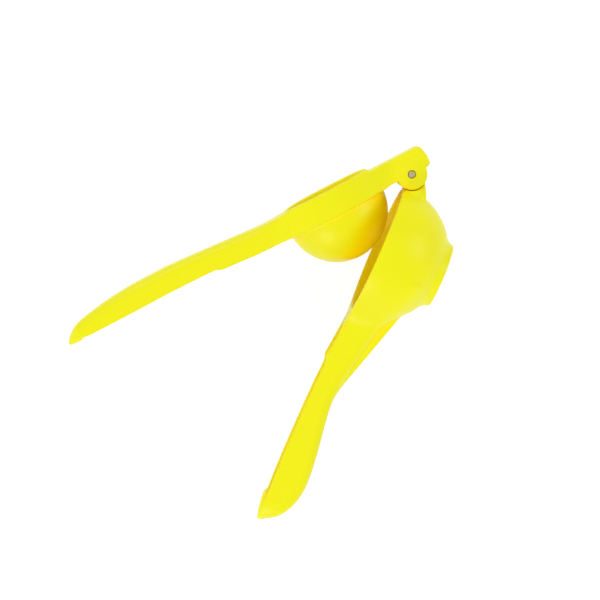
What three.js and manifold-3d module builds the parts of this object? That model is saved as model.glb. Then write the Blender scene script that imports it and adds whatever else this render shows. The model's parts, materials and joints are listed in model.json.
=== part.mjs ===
// A hand-held lemon squeezer: two cast and enamelled levers that turn on one steel pin.
// The bowl lever holds half a lemon, and the dome of the press lever folds down into the bowl.
// Each lever is drawn closed and level: s runs from the pin towards the handle's tip along X, the
// pin lies along Y, and t is height along Z. The finished tool lies open on its side.
import * as THREE from "three";
import { mergeVertices, toCreasedNormals } from "three/addons/utils/BufferGeometryUtils.js";
import Module from "manifold-3d";

const wasm = await Module();
wasm.setup();

// Hinge
const openAngle = 39.9;
const pinRadius = 2.1;
const pinPlay = 0.2;
const pinChamfer = 0.4;
const pinInset = 0.2;
const knuckleRadius = 7.4;
const knuckleWidth = 14;
const sidePlay = 0.4;
const earRadius = 8.7;
const earPlay = 0.4;
const forkWidth = 25;
const armPlay = 0.8;

// Arm of the press lever, from the web behind the knuckle to the press cup
const armTop = 12.65;
const armBottom = 0.1;
const armWeb = 3;
const armBevel = 0.8;
const tailReach = 12.5;
const tailFoot = -0.4;
const tailWall = 3.6;
const tailSlope = 1.6;
const tailCorner = 4.5;

// Bowl
const bowlRadius = 39.5;
const bowlGap = 7.7;
const bowlPlace = bowlGap + bowlRadius;
const bowlWall = 3.2;
const bowlFullness = 0.5;
const bowlRim = 2.1;
const rimDrop = 1.2;
const bowlEdge = 0.8;
const footRadius = 18.6;
const footCut = 0.7;
const footDepth = bowlRadius - footCut;
const slotWidth = 3.2;
const slotInner = 5.5;
const slotOuter = 13.5;
const slotCount = 8;
const drainRadius = 1.9;
const forkRelief = 0.1;
const reliefLength = 15.5;

// Press cup: a hollow dome inside a ring, which goes down into the bowl
const cupPlace = bowlPlace;
const ringPlay = 2.8;
const ringRadius = bowlRadius - bowlWall - ringPlay;
const ringBottom = -0.35;
const ringTop = 14.75;
const ringDraft = 4;
const ringWall = 3.2;
const ringEdge = 1.2;
const ringStep = 4.2;
const domeRadius = ringRadius - ringStep;
const domeRise = 0.85;
const domeWall = 2.95;

// Neck of the bowl lever, from the knuckle to the bowl
const neckTop = 0.3;
const neckHeel = 9.4;
const neckHeelPlace = 2.4;
const neckThroat = 12.1;
const neckFoot = 15;
const neckBevel = 0.6;

// Handles: channels that face each other
const pressReach = 218.5;
const pressCrown = 17.9;
const pressEdge = 3.7;
const bowlReach = 217.3;
const bowlCrown = 13.6;
const bowlEdgeHeight = 5.75;
const gripHalfWidth = 12.5;
const gripCorner = 5.5;
const gripWall = 3;
const tipLength = 13;
const channelGap = 5.5;
const channelEnd = 9.5;
const channelRound = 9;
const padHalfWidth = 6;
const pressPadInset = 1.5;
const pressPadLength = 7.5;
const pressPadRise = 0.9;
const bowlPadInset = 3.9;
const bowlPadLength = 13.8;
const bowlPadRise = 1.75;
const keelHalfWidth = 3.6;
const keelBevel = 1;

// Everything that cuts runs this far past what it cuts
const overrun = 5;

// Lines along a handle: shares of the lever's reach against shares of the height or half width
// that the line follows. Crowns are the curved backs, edges the rims of the open channel.
const pressCrownShares = [
  [0.26, 0.749], [0.37, 0.75], [0.42, 0.767], [0.5, 0.842], [0.6, 0.931], [0.68, 0.99], [0.73, 0.993],
  [0.78, 0.987], [0.85, 0.923], [0.92, 0.798], [0.96, 0.668], [0.985, 0.458], [1, 0.235],
];
const pressEdgeShares = [
  [0.26, -0.05], [0.41, -0.02], [0.46, 0.07], [0.5, 0.265], [0.54, 0.4], [0.553, 0.53], [0.567, 0.905],
  [0.6, 0.965], [0.7, 1.06], [0.8, 1], [1, 0.96],
];
const bowlCrownShares = [
  [0.26, 1.875], [0.37, 1.41], [0.405, 1.25], [0.44, 1.132], [0.479, 1.011], [0.52, 0.882],
  [0.56, 0.772], [0.6, 0.676], [0.625, 0.643], [0.655, 0.658], [0.714, 0.768], [0.782, 0.912],
  [0.851, 0.996], [0.897, 0.941], [0.934, 0.75], [0.962, 0.511], [0.98, 0.243], [0.99, 0.022],
  [1, -0.243],
];
const bowlEdgeShares = [
  [0.26, 0.19], [0.37, 0.28], [0.4, 0.35], [0.46, 0.597], [0.511, 0.833], [0.5245, 0.89],
  [0.5315, 0.843], [0.5385, 0.739], [0.546, 0.703], [0.556, 0.715], [0.598, 0.826], [0.6535, 0.9],
  [0.713, 0.963], [0.79, 1.01], [0.87, 1.02], [0.91, 0.99], [1, 0.98],
];
const keelShares = [[0.3, 2.2], [0.368, 1.886], [0.6, 0.7265], [0.622, 0.632]];
const widthShares = [
  [0.26, 2.3], [0.32, 1.84], [0.37, 1.4], [0.41, 1.16], [0.46, 1.02], [0.51, 0.95], [0.57, 0.92],
  [0.68, 0.96], [0.8, 1], [0.9, 0.94], [1, 0.84],
];

// A pad under a tip: shares of its length against shares of its rise
const padShares = [[0, 0.56], [0.1, 0.88], [0.17, 1], [0.4, 0.89], [0.75, 0.62], [1, 0.3]];

// A corner takes at most this share of the side that it rounds
const cornerShare = 0.9;

// What is left of a plan's width at its rounded end, as a share
const endWidthShare = 0.17;

// Fineness of the curves
const roundSteps = 48;
const bevelSteps = 2;
const creaseAngle = Math.PI / 5;
const settleSteps = 9;
const arcSteps = 9;
const cornerSteps = 3;
const gripStations = 26;

// Closed geometry as a solid that can be joined and cut.
function solidOf(geometry) {
  const bare = new THREE.BufferGeometry().setAttribute("position", geometry.getAttribute("position"));
  if (geometry.index) bare.setIndex(geometry.index);
  const merged = mergeVertices(bare);
  const whole = [];
  for (let i = 0; i < merged.index.count; i += 3) {
    const [a, b, c] = merged.index.array.slice(i, i + 3);
    if (a !== b && b !== c && c !== a) whole.push(a, b, c);
  }
  const vertProperties = new Float32Array(merged.getAttribute("position").array);
  const triVerts = new Uint32Array(whole);
  return new wasm.Manifold(new wasm.Mesh({ numProp: 3, vertProperties, triVerts }));
}

// A solid as a mesh with its own name and finish.
function meshOf(name, solid, material) {
  const { vertProperties, triVerts } = solid.getMesh();
  const geometry = new THREE.BufferGeometry();
  geometry.setAttribute("position", new THREE.BufferAttribute(vertProperties, 3));
  geometry.setIndex(new THREE.BufferAttribute(triVerts, 1));
  const mesh = new THREE.Mesh(toCreasedNormals(geometry, creaseAngle), material);
  mesh.name = name;
  return mesh;
}

// A round body about the vertical line at s = place, from a profile of [radius, t] points.
function turned(profile, place) {
  const points = profile.map(([radius, t]) => new THREE.Vector2(radius, t));
  return solidOf(new THREE.LatheGeometry(points, roundSteps).rotateX(Math.PI / 2).translate(place, 0, 0));
}

// An outline in s and t, drawn out along the pin to the full width, its long edges broken by a bevel.
function plate(outline, width, bevel = 0) {
  const geometry = new THREE.ExtrudeGeometry(outline, {
    depth: width - 2 * bevel,
    curveSegments: arcSteps,
    bevelEnabled: bevel > 0,
    bevelSize: bevel,
    bevelOffset: -bevel,
    bevelThickness: bevel,
    bevelSegments: bevelSteps,
  });
  return solidOf(geometry.translate(0, 0, bevel - width / 2).rotateX(Math.PI / 2));
}

// A round bar along the pin's axis.
function cross(radius, width) {
  return solidOf(new THREE.CylinderGeometry(radius, radius, width, roundSteps / 2));
}

// Points of an arc of a circle in a turned body's profile, from one angle below the level to another.
function arc(radius, centre, from, to) {
  return Array.from({ length: arcSteps + 1 }, (_, i) => {
    const angle = from + ((to - from) * i) / arcSteps;
    return [radius * Math.cos(angle), centre + radius * Math.sin(angle)];
  });
}

// Straight interpolation in a table of shares.
function straight(table, at) {
  const last = table.findIndex(([share]) => share >= at);
  if (last <= 0) return last ? table.at(-1)[1] : table[0][1];
  const [[a, from], [b, to]] = [table[last - 1], table[last]];
  return from + ((to - from) * (at - a)) / (b - a);
}

// Smooth interpolation in a table of shares, with each point's slope taken from its neighbours.
function smooth(table, at) {
  const last = Math.max(1, table.findIndex(([share]) => share >= at));
  const [[a, from], [b, to]] = [table[last - 1], table[last]];
  const slope = (i) => {
    const [before, after] = [table[Math.max(0, i - 1)], table[Math.min(table.length - 1, i + 1)]];
    return ((after[1] - before[1]) / (after[0] - before[0])) * (b - a);
  };
  const u = Math.min(1, (at - a) / (b - a));
  const [m, n] = [slope(last - 1), slope(last)];
  return (
    from * (1 + u * u * (2 * u - 3)) +
    to * u * u * (3 - 2 * u) +
    m * u * (1 - u) ** 2 -
    n * u * u * (1 - u)
  );
}

// A handle's section at one station: square at the edge, with rounded corners at the crown.
function section(halfWidth, edge, crown, corner) {
  const side = Math.sign(crown - edge);
  const radius = Math.min(corner, cornerShare * halfWidth, cornerShare * Math.abs(crown - edge));
  const points = [[halfWidth, edge]];
  for (let i = 0; i <= cornerSteps; i++) {
    const angle = (Math.PI / 2) * (i / cornerSteps);
    const across = halfWidth - radius + radius * Math.cos(angle);
    points.push([across, crown - side * radius * (1 - Math.sin(angle))]);
  }
  const mirrored = points.map(([y, t]) => [-y, t]).reverse();
  const ring = [...points, ...mirrored];
  return side > 0 ? ring : ring.reverse();
}

// A closed skin over sections in y and t, each [s, points] with as many points as the next.
function loft(sections) {
  const count = sections[0][1].length;
  const position = sections.flatMap(([s, points]) => points.flatMap(([y, t]) => [s, y, t]));
  const index = [];
  for (let k = 0; k + 1 < sections.length; k++)
    for (let i = 0; i < count; i++) {
      const [a, b] = [k * count + i, k * count + ((i + 1) % count)];
      index.push(a, b, b + count, a, b + count, a + count);
    }
  const caps = [[sections[0], 0, true], [sections.at(-1), (sections.length - 1) * count, false]];
  for (const [[, points], start, flipped] of caps) {
    const flat = points.map(([y, t]) => new THREE.Vector2(y, t));
    for (const [a, b, c] of THREE.ShapeUtils.triangulateShape(flat, []))
      index.push(...[a, flipped ? c : b, flipped ? b : c].map((i) => start + i));
  }
  const geometry = new THREE.BufferGeometry();
  geometry.setAttribute("position", new THREE.Float32BufferAttribute(position, 3));
  return solidOf(geometry.setIndex(index));
}

// The width of a plan at a distance from its rounded end, as a share of the full width.
function endShare(distance, length) {
  const u = 1 - Math.min(1, Math.max(0, distance / length));
  return Math.sqrt(1 - (1 - endWidthShare ** 2) * u * u);
}

// The two handles, each as lines that follow its reach. A crown below the edge opens upwards.
const pressGrip = {
  reach: pressReach,
  cupEnd: cupPlace + ringRadius,
  crown: (share) => pressCrown * smooth(pressCrownShares, share),
  edge: (share) => pressEdge * straight(pressEdgeShares, share),
  side: 1,
  padInset: pressPadInset,
  padLength: pressPadLength,
  padRise: pressPadRise,
};
const bowlGrip = {
  reach: bowlReach,
  cupEnd: bowlPlace + bowlRadius,
  crown: (share) => -bowlCrown * smooth(bowlCrownShares, share),
  edge: (share) => bowlEdgeHeight * straight(bowlEdgeShares, share),
  side: -1,
  padInset: bowlPadInset,
  padLength: bowlPadLength,
  padRise: bowlPadRise,
};

// A handle's outer skin, from inside the cup or bowl to its tip.
function gripBody(grip) {
  const start = widthShares[0][0];
  const steps = pressEdgeShares.concat(bowlEdgeShares).map(([share]) => share);
  const even = Array.from({ length: gripStations + 1 }, (_, i) => {
    return start + (1 - start) * Math.sin((Math.PI / 2) * (i / gripStations));
  });
  const shares = [...new Set([...even, ...steps.filter((share) => share > start && share < 1)])];
  return loft(
    shares
      .sort((a, b) => a - b)
      .map((share) => {
        const left = grip.reach * (1 - share);
        const halfWidth = gripHalfWidth * smooth(widthShares, share) * endShare(left, tipLength);
        return [grip.reach * share, section(halfWidth, grip.edge(share), grip.crown(share), gripCorner)];
      }),
  );
}

// The open channel inside a handle, as the solid to cut away.
function gripChannel(grip) {
  const from = grip.cupEnd + channelGap;
  const to = grip.reach - channelEnd;
  return loft(
    Array.from({ length: gripStations + 1 }, (_, i) => {
      const s = from + ((to - from) * (1 - Math.cos((Math.PI * i) / gripStations))) / 2;
      const share = s / grip.reach;
      const rounding = endShare(s - from, channelRound) * endShare(to - s, channelRound);
      const halfWidth = (gripHalfWidth * smooth(widthShares, share) - gripWall) * rounding;
      const crown = grip.crown(share) - grip.side * gripWall;
      const mouth = grip.edge(share) - grip.side * overrun;
      return [s, section(halfWidth, mouth, crown, gripCorner - gripWall / 2)];
    }),
  );
}

// The small pad under a handle's tip, where the two tips meet when squeezed hard.
function tipPad(grip) {
  return loft(
    padShares.map(([along, rise]) => {
      const s = grip.reach - grip.padInset - grip.padLength * (1 - along);
      const edge = grip.edge(s / grip.reach);
      const root = edge + (grip.side * gripWall) / 2;
      return [s, section(padHalfWidth, root, edge - grip.side * grip.padRise * rise, gripWall / 4)];
    }),
  );
}

// The arm's side outline: two ears round the pin, and the web that closes the fork behind them.
function armOutline() {
  const inner = cupPlace - ringRadius + 2 * ringWall + ringDraft;
  const meet = Math.asin(armBottom / earRadius);
  const tail = Math.PI - Math.asin(tailFoot / earRadius);
  const outline = new THREE.Shape();
  outline.moveTo(inner, armBottom);
  outline.lineTo(earRadius * Math.cos(meet), armBottom);
  outline.absarc(0, 0, earRadius, meet, tail, true);
  outline.lineTo(-tailReach, tailFoot);
  outline.lineTo(-tailReach, armTop - tailCorner);
  outline.quadraticCurveTo(tailSlope - tailReach, armTop - tailSlope, tailCorner - tailReach, armTop);
  outline.lineTo(inner, armTop);
  return outline;
}

// The slot between the ears, which takes the knuckle and the neck.
function forkSlot() {
  const back = tailWall - tailReach;
  const roof = armTop - armWeb;
  const outline = new THREE.Shape();
  outline.moveTo(back, -earRadius - overrun);
  outline.lineTo(cupPlace, -earRadius - overrun);
  outline.lineTo(cupPlace, roof);
  outline.lineTo(back + armWeb, roof);
  outline.quadraticCurveTo(back, roof, back, roof - armWeb);
  return plate(outline, knuckleWidth + 2 * sidePlay);
}

// The press cup's outside: the dome below, and round it the ring with its lip.
function cupBody() {
  const start = -Math.PI / 2;
  const meet = Math.asin((ringBottom - domeRise) / domeRadius);
  return turned(
    [
      ...arc(domeRadius, domeRise, start, meet),
      [ringRadius - ringEdge, ringBottom],
      [ringRadius, ringBottom + ringEdge],
      [ringRadius - ringDraft, ringTop - ringEdge],
      [ringRadius - ringDraft - ringEdge, ringTop],
      [0, ringTop],
    ],
    cupPlace,
  );
}

// The hollow of the press cup, open at the top.
function cupHollow() {
  const radius = domeRadius - domeWall;
  const mouth = ringRadius - ringDraft - ringWall;
  return turned([...arc(radius, domeRise, -Math.PI / 2, 0), [mouth, ringTop], [mouth, ringTop + overrun],
    [0, ringTop + overrun]], cupPlace);
}

// The upper lever, one casting: fork, press cup and handle.
function pressLever() {
  const bore = cross(pinRadius + pinPlay, forkWidth + 2 * overrun);
  return plate(armOutline(), forkWidth, armBevel)
    .subtract(forkSlot())
    .add(cupBody())
    .add(gripBody(pressGrip))
    .subtract(cupHollow())
    .subtract(gripChannel(pressGrip))
    .add(tipPad(pressGrip))
    .subtract(bore);
}

// The bowl's outside: part of a sphere, a little fuller halfway down, on a flat foot.
function bowlBody() {
  const flat = -Math.asin(footDepth / bowlRadius);
  const side = Array.from({ length: arcSteps + 1 }, (_, i) => {
    const angle = (flat * (arcSteps - i)) / arcSteps;
    const radius = bowlRadius + bowlFullness * Math.sin(2 * angle) ** 2;
    return [radius * Math.cos(angle), Math.max(-footDepth, radius * Math.sin(angle))];
  });
  return turned(
    [
      [0, -footDepth],
      ...side,
      [bowlRadius, bowlRim - bowlEdge],
      [bowlRadius - bowlEdge, bowlRim],
      [0, bowlRim],
    ],
    bowlPlace,
  );
}

// The round foot under the bowl.
function footBody() {
  const top = -Math.sqrt((bowlRadius - bowlWall / 2) ** 2 - footRadius ** 2);
  return turned([[0, -footDepth], [footRadius - bowlEdge, -footDepth], [footRadius, bowlEdge - footDepth],
    [footRadius, top], [0, top]], bowlPlace);
}

// The space for the lemon.
function bowlHollow() {
  const radius = bowlRadius - bowlWall;
  const top = bowlRim + overrun;
  return turned([...arc(radius, 0, -Math.PI / 2, 0), [radius, top], [0, top]], bowlPlace);
}

// The juice holes: one in the middle, and slots that run out from it.
function drainHoles() {
  const depth = bowlRadius + overrun;
  const length = slotOuter - slotInner - slotWidth;
  const outline = new THREE.Shape();
  outline.absarc(length / 2, 0, slotWidth / 2, -Math.PI / 2, Math.PI / 2);
  outline.absarc(-length / 2, 0, slotWidth / 2, Math.PI / 2, -Math.PI / 2);
  let holes = turned([[0, -depth], [drainRadius, -depth], [drainRadius, 0], [0, 0]], bowlPlace);
  for (let i = 0; i < slotCount; i++) {
    const slot = new THREE.ExtrudeGeometry(outline, { depth, curveSegments: cornerSteps, bevelEnabled: false });
    slot.translate((slotInner + slotOuter) / 2, 0, -depth);
    slot.rotateZ((2 * Math.PI * (i + 0.5)) / slotCount).translate(bowlPlace, 0, 0);
    holes = holes.add(solidOf(slot));
  }
  return holes;
}

// The neck: a knuckle round the pin, and a web that flares into the bowl.
function neckBody() {
  const inner = bowlPlace - bowlRadius + 2 * bowlWall;
  const top = Math.asin(neckTop / knuckleRadius);
  const heel = -Math.PI / 2 - Math.asin(neckHeelPlace / knuckleRadius);
  const outline = new THREE.Shape();
  outline.moveTo(inner, neckTop);
  outline.lineTo(knuckleRadius * Math.cos(top), neckTop);
  outline.absarc(0, 0, knuckleRadius, top, heel + 2 * Math.PI, false);
  outline.lineTo(neckHeelPlace, -neckHeel);
  outline.lineTo(knuckleRadius, -neckThroat);
  outline.lineTo(inner, -neckFoot);
  return plate(outline, knuckleWidth, neckBevel);
}

// The rib under the bowl lever, from the bowl to the start of the grip.
function keelBody() {
  const [start, end] = [keelShares[0][0], keelShares.at(-1)[0]];
  const outline = new THREE.Shape();
  outline.moveTo(bowlReach * start, 0);
  for (const [share, depth] of keelShares) outline.lineTo(bowlReach * share, -bowlCrown * depth);
  outline.lineTo(bowlReach * end, gripWall - bowlCrown * keelShares.at(-1)[1]);
  return plate(outline, 2 * keelHalfWidth, keelBevel).subtract(gripChannel(bowlGrip));
}

// What is cut from the rim, which slopes down a little towards the pin.
function rimCut() {
  const [near, far] = [bowlPlace - bowlRadius, bowlPlace + bowlRadius];
  const outline = new THREE.Shape();
  outline.moveTo(near - overrun, bowlRim - rimDrop);
  outline.lineTo(near, bowlRim - rimDrop);
  outline.lineTo(far, bowlRim);
  outline.lineTo(far, bowlRim + overrun);
  outline.lineTo(near - overrun, bowlRim + overrun);
  return plate(outline, 2 * (bowlRadius + overrun));
}

// Room for the fork: for its ears at any angle, and for its two arms over the bowl's rim when shut.
function forkRoom() {
  const outline = new THREE.Shape();
  outline.moveTo(-overrun, forkRelief);
  outline.lineTo(reliefLength, forkRelief);
  outline.lineTo(reliefLength, bowlRim + overrun);
  outline.lineTo(-overrun, bowlRim + overrun);
  const width = forkWidth + 2 * armPlay;
  return plate(outline, width).add(cross(earRadius + earPlay, width));
}

// The lower lever, one casting: knuckle, bowl and handle.
function bowlLever() {
  const bore = cross(pinRadius + pinPlay, knuckleWidth + 2 * overrun);
  return bowlBody()
    .subtract(rimCut())
    .add(footBody())
    .add(gripBody(bowlGrip).subtract(gripChannel(bowlGrip)))
    .add(keelBody())
    .subtract(forkRoom())
    .add(neckBody())
    .add(tipPad(bowlGrip))
    .subtract(bowlHollow())
    .subtract(drainHoles())
    .subtract(bore);
}

// The pin: a plain steel rivet, chamfered and a little below the ears at both ends.
function hingePin() {
  const half = forkWidth / 2 - pinInset;
  const profile = [[0, -half], [pinRadius - pinChamfer, -half], [pinRadius, pinChamfer - half],
    [pinRadius, half - pinChamfer], [pinRadius - pinChamfer, half], [0, half]];
  const points = profile.map(([radius, y]) => new THREE.Vector2(radius, y));
  return solidOf(new THREE.LatheGeometry(points, roundSteps / 2));
}

const enamel = new THREE.MeshStandardMaterial({ color: 0xf2ee2f, roughness: 0.42, metalness: 0 });
const steel = new THREE.MeshStandardMaterial({ color: 0xb9b3ae, roughness: 0.35, metalness: 1 });
enamel.name = "yellow_enamel";
steel.name = "pin_steel";

// The levers open evenly to both sides of X, with the pin upright; the pin stays in the fork.
const press = new THREE.Group();
press.add(meshOf("press_lever", pressLever(), enamel), meshOf("hinge_pin", hingePin(), steel));
const bowl = new THREE.Group();
bowl.add(meshOf("bowl_lever", bowlLever(), enamel));
press.rotation.set(Math.PI / 2, 0, -THREE.MathUtils.degToRad(openAngle / 2), "ZYX");
bowl.rotation.set(Math.PI / 2, 0, THREE.MathUtils.degToRad(openAngle / 2), "ZYX");
const tool = new THREE.Group();
tool.add(press, bowl);

// The points of a mesh between two stations along its lever, in the tool's own frame.
function pointsOf(mesh, from, to) {
  const position = mesh.geometry.getAttribute("position");
  return Array.from({ length: position.count }, (_, i) => new THREE.Vector3().fromBufferAttribute(position, i))
    .filter((point) => point.x >= from && point.x <= to)
    .map((point) => point.applyMatrix4(mesh.matrixWorld));
}

// Lying on its side, the tool touches the floor with the bowl's flank and both handle tips.
function floorNormal() {
  tool.updateMatrixWorld(true);
  const touching = [
    pointsOf(bowl.children[0], 0, bowlPlace + bowlRadius),
    pointsOf(press.children[0], pressReach / 2, pressReach),
    pointsOf(bowl.children[0], bowlReach / 2, bowlReach),
  ];
  let normal = new THREE.Vector3(0, 0, 1);
  for (let i = 0; i < settleSteps; i++) {
    const lowest = touching.map((points) => {
      return points.reduce((low, point) => (point.dot(normal) < low.dot(normal) ? point : low));
    });
    const [a, b, c] = lowest;
    normal = b.clone().sub(a).cross(c.clone().sub(a)).normalize();
    if (normal.z < 0) normal.negate();
  }
  return normal;
}

tool.quaternion.setFromUnitVectors(floorNormal(), new THREE.Vector3(0, 0, 1));
const placed = new THREE.Group();
placed.add(tool);
const box = new THREE.Box3().setFromObject(placed, true);
tool.position.set(-(box.min.x + box.max.x) / 2, -(box.min.y + box.max.y) / 2, -box.min.z);

export default placed;
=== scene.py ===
"""A hinged lemon squeezer: two enamelled castings that turn on a steel pin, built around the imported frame.

Each casting is shaped as a distance field in its lever's own coordinates, in millimetres: s runs from the
pin towards the handle's tip, y along the pin, and t up from the level of the rims when the tool is shut.
Fields join with round fillets, as the walls of a casting do, and the surface where the field is zero becomes
the mesh.
"""

import json
import logging
import math
from dataclasses import dataclass
from enum import Enum

import bpy
import numpy as np
from mathutils import Matrix, Vector
from mathutils.bvhtree import BVHTree

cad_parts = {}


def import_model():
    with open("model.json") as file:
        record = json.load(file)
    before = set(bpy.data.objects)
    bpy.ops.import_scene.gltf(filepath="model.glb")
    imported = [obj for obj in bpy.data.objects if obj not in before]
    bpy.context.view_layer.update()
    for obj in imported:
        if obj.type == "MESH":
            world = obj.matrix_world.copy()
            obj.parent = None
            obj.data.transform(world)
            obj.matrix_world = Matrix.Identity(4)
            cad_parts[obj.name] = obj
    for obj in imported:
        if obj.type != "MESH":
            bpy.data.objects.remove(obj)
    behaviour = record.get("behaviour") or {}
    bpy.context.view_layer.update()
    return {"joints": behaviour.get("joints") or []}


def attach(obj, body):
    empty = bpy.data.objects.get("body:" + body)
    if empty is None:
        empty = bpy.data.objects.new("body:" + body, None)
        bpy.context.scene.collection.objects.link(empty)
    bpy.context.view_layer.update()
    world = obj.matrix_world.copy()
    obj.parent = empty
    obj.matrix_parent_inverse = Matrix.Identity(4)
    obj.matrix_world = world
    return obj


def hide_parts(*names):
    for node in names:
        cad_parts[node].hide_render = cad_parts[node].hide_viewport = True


log = logging.getLogger("lemon_squeezer")

MM = 0.001
IMAGE_SIZE = 600
Pair = tuple[float, float]
Place = tuple[float, float, float]
Shares = tuple[Pair, ...]
Corners = list[Pair]


class Back(Enum):
    """The way a handle's closed back faces along t."""

    UP = 1
    DOWN = -1


# Shapes as distance fields


def joined(a: np.ndarray, b: np.ndarray, fillet: float | np.ndarray) -> np.ndarray:
    """Joins two fields with a round fillet.

    Args:
        a: Distance to the first shape, negative inside.
        b: Distance to the second shape.
        fillet: Radius of the fillet between them.

    Returns:
        The distance to both together.
    """
    near = np.hypot(np.maximum(fillet - a, 0), np.maximum(fillet - b, 0))
    return np.maximum(fillet, np.minimum(a, b)) - near


def common(a: np.ndarray, b: np.ndarray, corner: float | np.ndarray) -> np.ndarray:
    """Keeps what two fields share, with a rounded edge.

    Args:
        a: Distance to the first shape, negative inside.
        b: Distance to the second shape.
        corner: Radius of the edge where they meet.

    Returns:
        The distance to the shared part.
    """
    far = np.hypot(np.maximum(corner + a, 0), np.maximum(corner + b, 0))
    return np.minimum(-corner, np.maximum(a, b)) + far


def cut(a: np.ndarray, b: np.ndarray, corner: float) -> np.ndarray:
    """Takes shape b out of shape a, and rounds the edge that this leaves."""
    return common(a, -b, corner)


def outline_distance(corners: Corners, x: np.ndarray, z: np.ndarray) -> np.ndarray:
    """Measures the distance to a closed outline.

    Args:
        corners: The outline's corners, in either direction.
        x: First coordinate of the places to measure.
        z: Second coordinate of the places to measure.

    Returns:
        The distance at each place, negative inside the outline.
    """
    x, z = np.broadcast_arrays(x, z)
    nearest = np.full(x.shape, np.inf)
    inside = np.zeros(x.shape, bool)
    for (ax, az), (bx, bz) in zip(corners, corners[1:] + corners[:1]):
        ex, ez = bx - ax, bz - az
        squared = ex * ex + ez * ez
        if squared == 0:
            continue
        wx, wz = x - ax, z - az
        along = np.clip((wx * ex + wz * ez) / squared, 0, 1)
        nearest = np.minimum(nearest, (wx - along * ex) ** 2 + (wz - along * ez) ** 2)
        if ez:
            inside ^= ((az > z) != (bz > z)) & (wx < wz * ex / ez)
    return np.where(inside, -1, 1) * np.sqrt(nearest)


def arc(radius: float, start: float, end: float, steps: int = 24) -> Corners:
    """Gives points of a circle about the origin.

    Args:
        radius: The circle's radius.
        start: First angle, in radians.
        end: Last angle, in radians.
        steps: How many pieces the arc has.

    Returns:
        The points from start to end.
    """
    angles = np.linspace(start, end, steps + 1)
    return [(radius * math.cos(a), radius * math.sin(a)) for a in angles]


def bend(start: Pair, control: Pair, end: Pair, steps: int = 12) -> Corners:
    """Gives points of a quadratic curve.

    Args:
        start: Where the curve starts.
        control: The point that draws it aside.
        end: Where it ends.
        steps: How many pieces the curve has.

    Returns:
        The points from start to end.
    """
    points = []
    for i in range(steps + 1):
        u = i / steps
        shares = (1 - u) ** 2, 2 * u * (1 - u), u * u
        points.append(tuple(sum(k * v for k, v in zip(shares, axis)) for axis in zip(start, control, end)))
    return points


def straight(table: Shares, at: float) -> float:
    """Reads a table of shares with straight lines between its points."""
    return float(np.interp(at, [share for share, _ in table], [value for _, value in table]))


def smooth(table: Shares, at: float) -> float:
    """Reads a table of shares with a smooth line through its points.

    Args:
        table: Places and values, both as shares.
        at: The place to read.

    Returns:
        The value there. Each point's slope comes from its neighbours.
    """
    last = next((i for i, (share, _) in enumerate(table) if share >= at and i), len(table) - 1)
    (a, low), (b, high) = table[last - 1], table[last]

    def slope(i: int) -> float:
        """Slope at a point, over the width of this piece."""
        before, after = table[max(0, i - 1)], table[min(len(table) - 1, i + 1)]
        return (after[1] - before[1]) / (after[0] - before[0]) * (b - a)

    u = min(1.0, (at - a) / (b - a))
    ends = low * (1 + u * u * (2 * u - 3)) + high * u * u * (3 - 2 * u)
    return ends + slope(last - 1) * u * (1 - u) ** 2 - slope(last) * u * u * (1 - u)


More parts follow.
